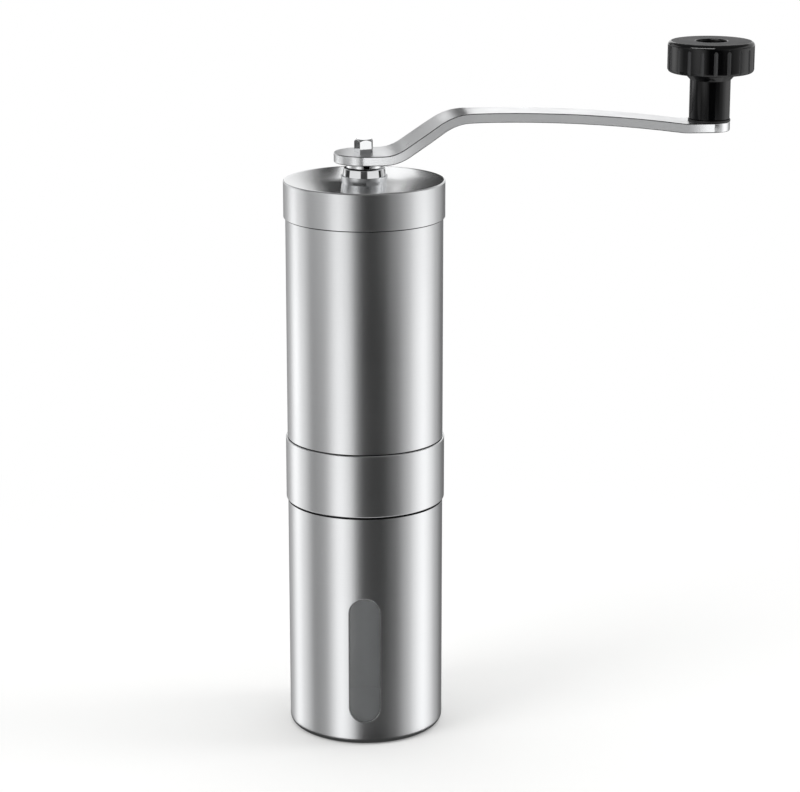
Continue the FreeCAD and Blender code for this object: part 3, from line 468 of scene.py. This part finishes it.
def pane_layer(outer, inner, edge_gap):
    """A curved pane between two radii, as wide as the slot less a gap on each side."""
    ring = turn([(inner, 0), (outer, 0), (outer, 60), (inner, 60)])
    bar = rounded_bar(WINDOW_WIDTH - 2 * edge_gap, WINDOW_LOW + edge_gap, WINDOW_HIGH - edge_gap, -30, -10)
    return combined(ring, bar, "INTERSECT")


pane = combined(pane_layer(PANE_RADIUS, PANE_INNER, PANE_GAP),
                pane_layer(FLANGE_RADIUS, PANE_INNER, -FLANGE), "UNION")
place(pane, "window_pane", "catch", [acrylic], ["window_lens"])

# %% [markdown]
# The lid is pressed with a shallow dish and a small rolled rim. Its top is brushed in circles.
# The bush in its middle is turned in two steps and buffed.

# %% Lid and bush
LID_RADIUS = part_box("lid_shell")[1][0] / MM
LID_WALL = 0.5
DISH = 0.9
LID_RIM = 1.2
BUSH_STEP, BUSH_RADIUS = 6.9, 6.3
bush_high = level("lid_bush")
lid_middle = lid_high - DISH
LID_HOLE = BUSH_RADIUS - 0.8
mesh = turn([(TUBE_RADIUS + 0.06, lid_low), (LID_RADIUS, lid_low), (LID_RADIUS, lid_high),
             (LID_RADIUS - LID_RIM, lid_high), (11.8, lid_middle), (LID_HOLE, lid_middle),
             (LID_HOLE, lid_middle - LID_WALL), (11.8, lid_middle - LID_WALL),
             (LID_RADIUS - LID_RIM, lid_high - LID_WALL), (TUBE_RADIUS + 0.06, lid_high - LID_WALL)])
round_rims(mesh, 0.45, [(LID_RADIUS, lid_high)], 5)
round_rims(mesh, 0.4, [(LID_RADIUS - LID_RIM, lid_high)], 4)
round_rims(mesh, 0.15, [(LID_RADIUS, lid_low)], 2)
lid = place(mesh, "lid_shell_skin", "lid", [shell_steel, lid_steel], ["lid_shell"])
for polygon in lid.data.polygons:
    if polygon.normal.z > 0.9:
        polygon.material_index = 1

BUSH_BORE = 3.2
BOWL_FOOT, BOWL_RISE = 6.6, 1.4
STEP_TOP = lid_middle + 2.0
spigot_low = level("lid_bush", False)
mesh = turn([(BUSH_BORE, spigot_low), (LID_HOLE - 0.05, spigot_low), (LID_HOLE - 0.05, lid_middle),
             (BOWL_FOOT, lid_middle), (BUSH_STEP, lid_middle + BOWL_RISE), (BUSH_STEP, STEP_TOP),
             (BUSH_RADIUS + 0.15, STEP_TOP), (BUSH_RADIUS - 0.15, bush_high), (BUSH_BORE, bush_high)], 96)
round_rims(mesh, 0.6, [(BUSH_STEP, lid_middle + BOWL_RISE)], 4)
round_rims(mesh, 0.2, [(BUSH_STEP, STEP_TOP), (BUSH_RADIUS - 0.15, bush_high)], 3)
place(mesh, "lid_bush_skin", "lid", [bright_steel], ["lid_bush"])

# %% [markdown]
# The crank is a bent flat bar. Its solid already has the right bends, so a merged copy of it is used,
# and only its long edges are eased, as tumbling does to a stamped bar. The flat sides have a finish of their
# own, and the eased long edges are painted dark steel, a painted dark reflection line along each edge.

# %% Crank arm
HUB_HOLE, GRIP_HOLE = 4, 3


def is_far(point):
    """True away from the holes at the hub and the grip."""
    from_hub, from_grip = math.hypot(point.x, point.y), math.hypot(point.x - knob_x, point.y - knob_y)
    return from_hub > HUB_HOLE * MM and from_grip > GRIP_HOLE * MM


def is_outer(edge):
    """True where an edge isn't part of a hole."""
    return is_far((edge.verts[0].co + edge.verts[1].co) / 2)


knob_low, knob_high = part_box("knob")
knob_x, knob_y = (knob_low[0] + knob_high[0]) / 2, (knob_low[1] + knob_high[1]) / 2
mesh = solid_copy("crank_arm")
soften(mesh, 0.3, is_outer, 4)
arm = place(mesh, "crank_arm_bar", "crank", [arm_steel, edge_steel, painted_dark_edge_steel],
            ["crank_arm"])
across = Vector((-knob_y, knob_x, 0)).normalized()
# Faces across the long edges take the dark steel, the painted dark reflection lines.
for polygon in arm.data.polygons:
    if abs(polygon.normal.z) < 0.2 and is_far(polygon.center):
        polygon.material_index = 1
    elif abs(polygon.normal.dot(across)) > 0.25 and is_far(polygon.center):
        polygon.material_index = 2

# %% [markdown]
# The shaft's five-sided tip drives the crank. Its corners and its end are eased, so they catch the light.

# %% Shaft
mesh = solid_copy("main_shaft")
soften(mesh, 0.3, lambda edge: min(v.co.z for v in edge.verts) > level("crank_arm", False) * MM, 3)
shaft = place(mesh, "main_shaft_bar", "drive", [shaft_steel], ["main_shaft"])

# %% [markdown]
# The knob is moulded in one piece: a fluted head with a rounded edge, a flare and a plain stem. A ring of
# rods cuts the flutes. The top and the flutes are satin and painted a lighter grey as a painted highlight,
# and the rest is glossy.

# %% Knob
KNOB_STEM, KNOB_HEAD, KNOB_RECESS = 6.05, 12.85, 4.65
KNOB_FLARE, FLARE_HEIGHT, HEAD_HEIGHT, RECESS_DEPTH, RIM_ROUND = 8.1, 2.2, 9.3, 3.0, 1.2
FLUTES, FLUTE_RADIUS, FLUTE_END = 20, 0.65, 1.7


def flute_rods(low, high):
    """A ring of round-ended rods that cut the flutes of the knob's head."""
    ring = bmesh.new()
    for number in range(FLUTES):
        rod = turn([(0, low), (0.7 * FLUTE_RADIUS, low + 0.3 * FLUTE_RADIUS),
                    (FLUTE_RADIUS, low + FLUTE_RADIUS), (FLUTE_RADIUS, high - FLUTE_RADIUS),
                    (0.7 * FLUTE_RADIUS, high - 0.3 * FLUTE_RADIUS), (0, high)], 16)
        bmesh.ops.translate(rod, vec=((KNOB_HEAD + 0.4 * FLUTE_RADIUS) * MM, 0, 0), verts=rod.verts[:])
        bmesh.ops.rotate(rod, cent=(0, 0, 0), verts=rod.verts[:],
                         matrix=Matrix.Rotation(2 * math.pi * number / FLUTES, 3, "Z"))
        data = bpy.data.meshes.new("rod")
        rod.to_mesh(data)
        rod.free()
        ring.from_mesh(data)
        bpy.data.meshes.remove(data)
    return ring


knob_base, knob_top = level("knob", False), level("knob")
head_low = knob_top - HEAD_HEIGHT
knob_points = [v.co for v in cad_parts["knob"].data.vertices]
knob_bore = min(math.hypot(point.x - knob_x, point.y - knob_y) for point in knob_points) / MM
mesh = turn([(knob_bore, knob_base), (KNOB_STEM, knob_base), (KNOB_STEM, head_low - FLARE_HEIGHT),
             (KNOB_FLARE, head_low), (KNOB_HEAD, head_low), (KNOB_HEAD, knob_top), (KNOB_RECESS, knob_top),
             (KNOB_RECESS, knob_top - RECESS_DEPTH), (knob_bore, knob_top - RECESS_DEPTH)], 10 * FLUTES)
round_rims(mesh, RIM_ROUND, [(KNOB_HEAD, knob_top), (KNOB_HEAD, head_low)], 8)
round_rims(mesh, 0.25, [(KNOB_RECESS, knob_top), (KNOB_STEM, knob_base)], 3)
mesh = combined(mesh, flute_rods(head_low - RIM_ROUND, knob_top - FLUTE_END), "DIFFERENCE")
bmesh.ops.translate(mesh, vec=(knob_x, knob_y, 0), verts=mesh.verts[:])
knob = place(mesh, "knob_grip", "knob_body", [knob_gloss, knob_satin_painted_highlight], ["knob"])
# The top and the flutes take the satin finish with its painted highlight.
for polygon in knob.data.polygons:
    from_axis = math.hypot(polygon.center.x - knob_x, polygon.center.y - knob_y) / MM
    is_top = polygon.normal.z > 0.98 and polygon.center.z > (knob_top - 0.5) * MM
    is_side = head_low + RIM_ROUND < polygon.center.z / MM < knob_top - RIM_ROUND
    is_flute = is_side and KNOB_HEAD - FLUTE_RADIUS < from_axis < KNOB_HEAD - 0.05
    polygon.material_index = int(is_top or is_flute)

# %% [markdown]
# The burr spring sits between the burrs and a seat on the shaft. Its coil is a merged copy of its solid,
# tied to no body.

# %% Burr spring
spring = place(solid_copy("burr_spring"), "burr_spring_coil", None, [spring_steel],
               ["burr_spring"])
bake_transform(spring)

# %% [markdown]
# The other solids have their final shape already, so each keeps its mesh and takes a better finish.

# %% Finishes of the remaining solids
FINISHES = {
    "burr_housing": housing_black, "lower_bush": turned_brass, "upper_bush": turned_brass,
    "burr_retainer": retainer_grey, "ring_burr": ceramic, "cone_burr": ceramic, "burr_core": core_black,
    "thrust_washer": small_steel, "shaft_clip": small_steel, "spring_seat": small_steel,
    "spring_washer": nylon_white, "click_plate": small_steel,
    "adjuster_dial": dial_black, "adjuster_nut": turned_brass, "crank_boss": bright_steel,
    "knob_screw": screw_black, "knob_washer": dial_black,
}
for node_name, material in FINISHES.items():
    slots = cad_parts[node_name].data.materials
    slots.clear()
    slots.append(material)
print("solids refinished:", len(FINISHES))

# %% [markdown]
# The studio is a pale floor under a white sky, with soft boxes at the sides. Metal needs something dark to
# mirror, so a tent of cloth stands round the table, white, grey and dark by turns. It is seen only in
# reflections.

# %% Floor and backdrop
def shown_white(tree):
    """1 to the camera, reflections and clear pieces, and 0 to the light that falls on the object."""
    path = add(tree, "LightPath")
    seen = path.outputs["Is Camera Ray"]
    for ray in ("Is Glossy Ray", "Is Transmission Ray"):
        seen = add(tree, "Math", {0: seen, 1: path.outputs[ray]}, operation="MAXIMUM").outputs[0]
    return seen


def stage_piece(name, mesh):
    """An object of the studio, at the origin."""
    data = bpy.data.meshes.new(name)
    mesh.to_mesh(data)
    mesh.free()
    piece = bpy.data.objects.new(name, data)
    bpy.context.scene.collection.objects.link(piece)
    return piece


floor_mesh = bmesh.new()
bmesh.ops.create_grid(floor_mesh, x_segments=1, y_segments=1, size=6.0)
floor = stage_piece("floor", floor_mesh)
floor.visible_glossy = False
paper = bpy.data.materials.new("white_paper_floor")
paper.use_nodes = True
tree = paper.node_tree
tree.nodes.clear()
diffuse = add(tree, "BsdfDiffuse", {"Color": linear("#f0f0ef")})
glow = add(tree, "Emission", {"Color": (1, 1, 1, 1), "Strength": 0.16})
near = add(tree, "AddShader", {0: diffuse.outputs[0], 1: glow.outputs[0]})
plain = add(tree, "Emission", {"Color": (1, 1, 1, 1), "Strength": 1.0})
reach = add(tree, "VectorMath", {0: add(tree, "TexCoord").outputs["Object"]}, operation="LENGTH")
fade = add(tree, "MapRange", {"Value": reach.outputs["Value"], "From Min": 0.06, "From Max": 0.30},
           interpolation_type="SMOOTHSTEP")
shown = add(tree, "MixShader", {0: fade.outputs["Result"], 1: near.outputs[0], 2: plain.outputs[0]})
mixed = add(tree, "MixShader", {0: shown_white(tree), 1: diffuse.outputs[0], 2: shown.outputs[0]})
add(tree, "OutputMaterial", {"Surface": mixed.outputs[0]})
floor.data.materials.append(paper)

world = bpy.data.worlds.new("white_studio")
bpy.context.scene.world = world
world.use_nodes = True
tree = world.node_tree
tree.nodes.clear()
sky = add(tree, "Background", {"Color": (1, 1, 1, 1), "Strength": 0.55})
white = add(tree, "Background", {"Color": (1, 1, 1, 1), "Strength": 1.0})
mixed = add(tree, "MixShader", {0: shown_white(tree), 1: sky.outputs[0], 2: white.outputs[0]})
add(tree, "OutputWorld", {"Surface": mixed.outputs[0]})

# %% [markdown]
# Brightness is listed by bearing, in degrees from the camera towards the right. The lower wall faces the
# upright shells, the side wall faces the crank's edges, and the upper wall faces the tops. The belt faces the
# buffed bush, and its hard steps give it crisp light and dark strips. The ceiling is dim.

# %% Reflection tent
TENT_RADIUS = 1.1
TENT_FLOOR, CUP_LEVEL, SIDE_LOW, SIDE_HIGH = -1.4, -0.25, -0.014, 0.022
BELT_LOW, BELT_HIGH, TENT_TOP = 0.10, 0.27, 0.75
LOWER_WALL = [(-180, 0.15), (-144, 0.50), (-119, 1.80), (-102, 1.12), (-80, 0.32), (-64, 0.40), (-36, 1.48),
              (-23, 1.10), (-8, 0.12), (2, 0.03), (24, 0.01), (45, 0.07), (65, 0.56), (84, 1.30), (96, 1.60),
              (110, 1.20), (128, 0.58), (150, 0.18), (180, 0.15)]
CUP_TONES = {-119: 1.50, -102: 0.95, 2: 0.065, 24: 0.055, 45: 0.14}
CUP_WALL = [(mark, CUP_TONES.get(mark, tone)) for mark, tone in LOWER_WALL]
BELT = [(-180, 0.95), (-137, 0.95), (-131, 0.50), (-116, 0.50), (-112, 0.05), (-86, 0.05), (-81, 0.95),
        (-21, 0.95), (-15, 0.06), (14, 0.06), (22, 0.95), (84, 0.95), (88, 0.02), (101, 0.02), (105, 0.50),
        (118, 0.50), (122, 0.95), (180, 0.95)]
SIDE_WALL = [(-180, 0.15), (-140, 0.50), (-127, 0.10), (-108, 0.10), (-98, 0.90), (-80, 0.90), (-60, 0.80),
             (-52, 0.08), (-20, 0.05), (-4, 0.70), (12, 0.85), (30, 0.80), (65, 0.75), (84, 1.25), (96, 1.50),
             (110, 1.20), (128, 0.58), (150, 0.18), (180, 0.15)]
UPPER_WALL = [(-180, 1.50), (-174, 1.30), (-166, 0.40), (-158, 0.42), (-148, 0.85), (-120, 1.20), (-85, 0.35),
              (-45, 1.10), (-15, 0.30), (20, 0.12), (50, 0.35), (95, 1.40), (125, 0.85), (155, 0.70),
              (172, 1.30), (180, 1.50)]
CEILING, FOOT_SHADE = [(-180, 0.22), (180, 0.22)], [(-180, 0.05), (180, 0.05)]
# Brightness by millimetres to the right, on the cards.
LID_CARD = [(-32, 1.05), (-24, 1.05), (-21, 0.95), (-18, 0.65), (-15, 0.22), (-12, 0.04), (1, 0.02),
            (5, 0.45), (8, 0.75), (11, 0.45), (14, 0.20), (17, 0.11), (20, 0.06), (25, 0.04), (32, 0.03)]
RIM_STRIP, ARM_CARD = [(-900, 16.0), (200, 16.0)], [(-100, 1.30), (400, 1.30)]


def glowing(piece, tones, share):
    """Gives a stage piece a glow that follows a list of tones, and hides it from all but reflections."""
    for ray in ("camera", "diffuse", "transmission", "shadow", "volume_scatter"):
        setattr(piece, "visible_" + ray, False)
    cloth = bpy.data.materials.new(piece.name + "_cloth")
    cloth.use_nodes = True
    tree = cloth.node_tree
    tree.nodes.clear()
    first, last = tones[0][0], tones[-1][0]
    spot = add(tree, "MapRange", {"Value": share(tree), "From Min": first, "From Max": last})
    ramp = add(tree, "ValToRGB", {"Fac": spot.outputs["Result"]})
    ramp.color_ramp.interpolation = "EASE"
    brightest = max(tone for mark, tone in tones)
    for index, (mark, tone) in enumerate(tones):
        if index in (0, len(tones) - 1):
            stop = ramp.color_ramp.elements[0 if index == 0 else -1]
        else:
            stop = ramp.color_ramp.elements.new((mark - first) / (last - first))
        stop.color = (tone / brightest, tone / brightest, tone / brightest, 1)
    glow = add(tree, "Emission", {"Color": ramp.outputs["Color"], "Strength": brightest})
    add(tree, "OutputMaterial", {"Surface": glow.outputs[0]})
    piece.data.materials.append(cloth)


def bearing(tree):
    """Degrees from the camera's side towards the right."""
    spot = add(tree, "SeparateXYZ", {0: add(tree, "TexCoord").outputs["Object"]})
    ahead = add(tree, "Math", {0: spot.outputs["Y"], 1: -1.0}, operation="MULTIPLY")
    angle = add(tree, "Math", {0: spot.outputs["X"], 1: ahead.outputs[0]}, operation="ARCTAN2")
    return add(tree, "Math", {0: angle.outputs[0]}, operation="DEGREES").outputs[0]


def rightward(tree):
    """Millimetres to the right of the shaft's line."""
    spot = add(tree, "SeparateXYZ", {0: add(tree, "TexCoord").outputs["Object"]})
    return add(tree, "Math", {0: spot.outputs["X"], 1: 1 / MM}, operation="MULTIPLY").outputs[0]


def swept(name, start, end):
    """A band of the studio made by turning a line from (radius, height) to (radius, height), in metres."""
    mesh = bmesh.new()
    ends = [mesh.verts.new((0, -radius, height)) for radius, height in (start, end)]
    bmesh.ops.spin(mesh, geom=ends + [mesh.edges.new(ends)], cent=(0, 0, 0), axis=(0, 0, 1),
                   angle=2 * math.pi, steps=96, use_merge=True)
    return stage_piece(name, mesh)


def card(name, corners):
    """A flat card of the studio with those corners."""
    mesh = bmesh.new()
    mesh.faces.new([mesh.verts.new(corner) for corner in corners])
    return stage_piece(name, mesh)


for name, low, high, tones in (
        ("tent_foot", TENT_FLOOR, CUP_LEVEL, CUP_WALL), ("tent_lower", CUP_LEVEL, SIDE_LOW, LOWER_WALL),
        ("tent_side", SIDE_LOW, SIDE_HIGH, SIDE_WALL), ("tent_middle", SIDE_HIGH, BELT_LOW, LOWER_WALL),
        ("tent_belt", BELT_LOW, BELT_HIGH, BELT), ("tent_upper", BELT_HIGH, TENT_TOP, UPPER_WALL)):
    glowing(swept(name, (TENT_RADIUS, low), (TENT_RADIUS, high)), tones, bearing)
glowing(swept("tent_ceiling", (TENT_RADIUS, TENT_TOP), (0.01, TENT_TOP)), CEILING, bearing)
glowing(swept("foot_shade", (0.001, -0.0003), (0.0262, -0.0003)), FOOT_SHADE, bearing)
print("tent made")

# %% [markdown]
# Three cards stand behind the lid, and its dish mirrors their fall from light to dark. Two more cards in
# front light only what they are meant for: a strip for the knob's rim, and a card for the crank and shaft.

# %% Cards
CARD_BACK, CARD_LOW, CARD_HIGH = 0.12, 0.150, 0.198
CARD_LEFT, CARD_SPLIT, CARD_STEP, CARD_RIGHT, CARD_TALL = -0.032, -0.0085, 0.013, 0.032, 0.26
for name, left, right, high in (("lid_card_left", CARD_LEFT, CARD_SPLIT, CARD_TALL),
                                ("lid_card_middle", CARD_SPLIT, CARD_STEP, CARD_HIGH),
                                ("lid_card_right", CARD_STEP, CARD_RIGHT, CARD_TALL)):
    glowing(card(name, [(left, CARD_BACK, CARD_LOW), (right, CARD_BACK, CARD_LOW), (right, CARD_BACK, high),
                        (left, CARD_BACK, high)]), LID_CARD, rightward)
rim_strip = card("rim_strip", [(-0.80, -0.45, 0.62), (0.14, -0.72, 0.62), (0.14, -0.60, 0.74),
                               (-0.80, -0.38, 0.74)])
glowing(rim_strip, RIM_STRIP, rightward)
arm_card = card("arm_card", [(-0.027, -0.632, 0.01), (0.357, -0.522, 0.01), (0.357, -0.522, 0.17),
                             (-0.027, -0.632, 0.17)])
glowing(arm_card, ARM_CARD, rightward)
for lamp_card, lit in ((rim_strip, [knob]), (arm_card, [arm, shaft])):
    receivers = bpy.data.collections.new("lit_by_" + lamp_card.name)
    for piece in lit:
        receivers.objects.link(piece)
    lamp_card.light_linking.receiver_collection = receivers
print("cards made")

# %% [markdown]
# Three soft boxes light the floor and the plastic. The camera stands in front, higher than the lid, and looks
# down a little. Its lens is long, since the photograph has little perspective.

# %% Lamps and camera
def soft_box(name, place_at, aim, width, height, watts):
    """A rectangular area lamp that faces a point."""
    lamp = bpy.data.lights.new(name, "AREA")
    lamp.shape = "RECTANGLE"
    lamp.size, lamp.size_y, lamp.energy = width, height, watts
    holder = bpy.data.objects.new(name, lamp)
    bpy.context.scene.collection.objects.link(holder)
    holder.location = place_at
    holder.rotation_euler = (Vector(aim) - Vector(place_at)).to_track_quat("-Z", "Y").to_euler()
    holder.visible_glossy = False
    return holder


soft_box("key_left", (-0.75, -0.55, 0.75), (0, 0, 0.1), 0.5, 0.9, 4)
soft_box("fill_right", (0.95, 0.05, 0.5), (0, 0, 0.12), 0.35, 1.0, 3)
soft_box("top_light", (0.05, 0.15, 1.1), (0, 0, 0.1), 0.8, 0.6, 3)

camera_data = bpy.data.cameras.new("camera")
camera_data.sensor_fit = "HORIZONTAL"
camera_data.sensor_width = 36
camera_data.lens = 117.7
camera = bpy.data.objects.new("camera", camera_data)
bpy.context.scene.collection.objects.link(camera)
camera.location = (10.6 * MM, -764.6 * MM, 307.5 * MM)
camera.rotation_euler = (math.radians(90 - 14.93), 0, 0)
bpy.context.scene.camera = camera
bpy.context.scene.view_settings.view_transform = "Standard"
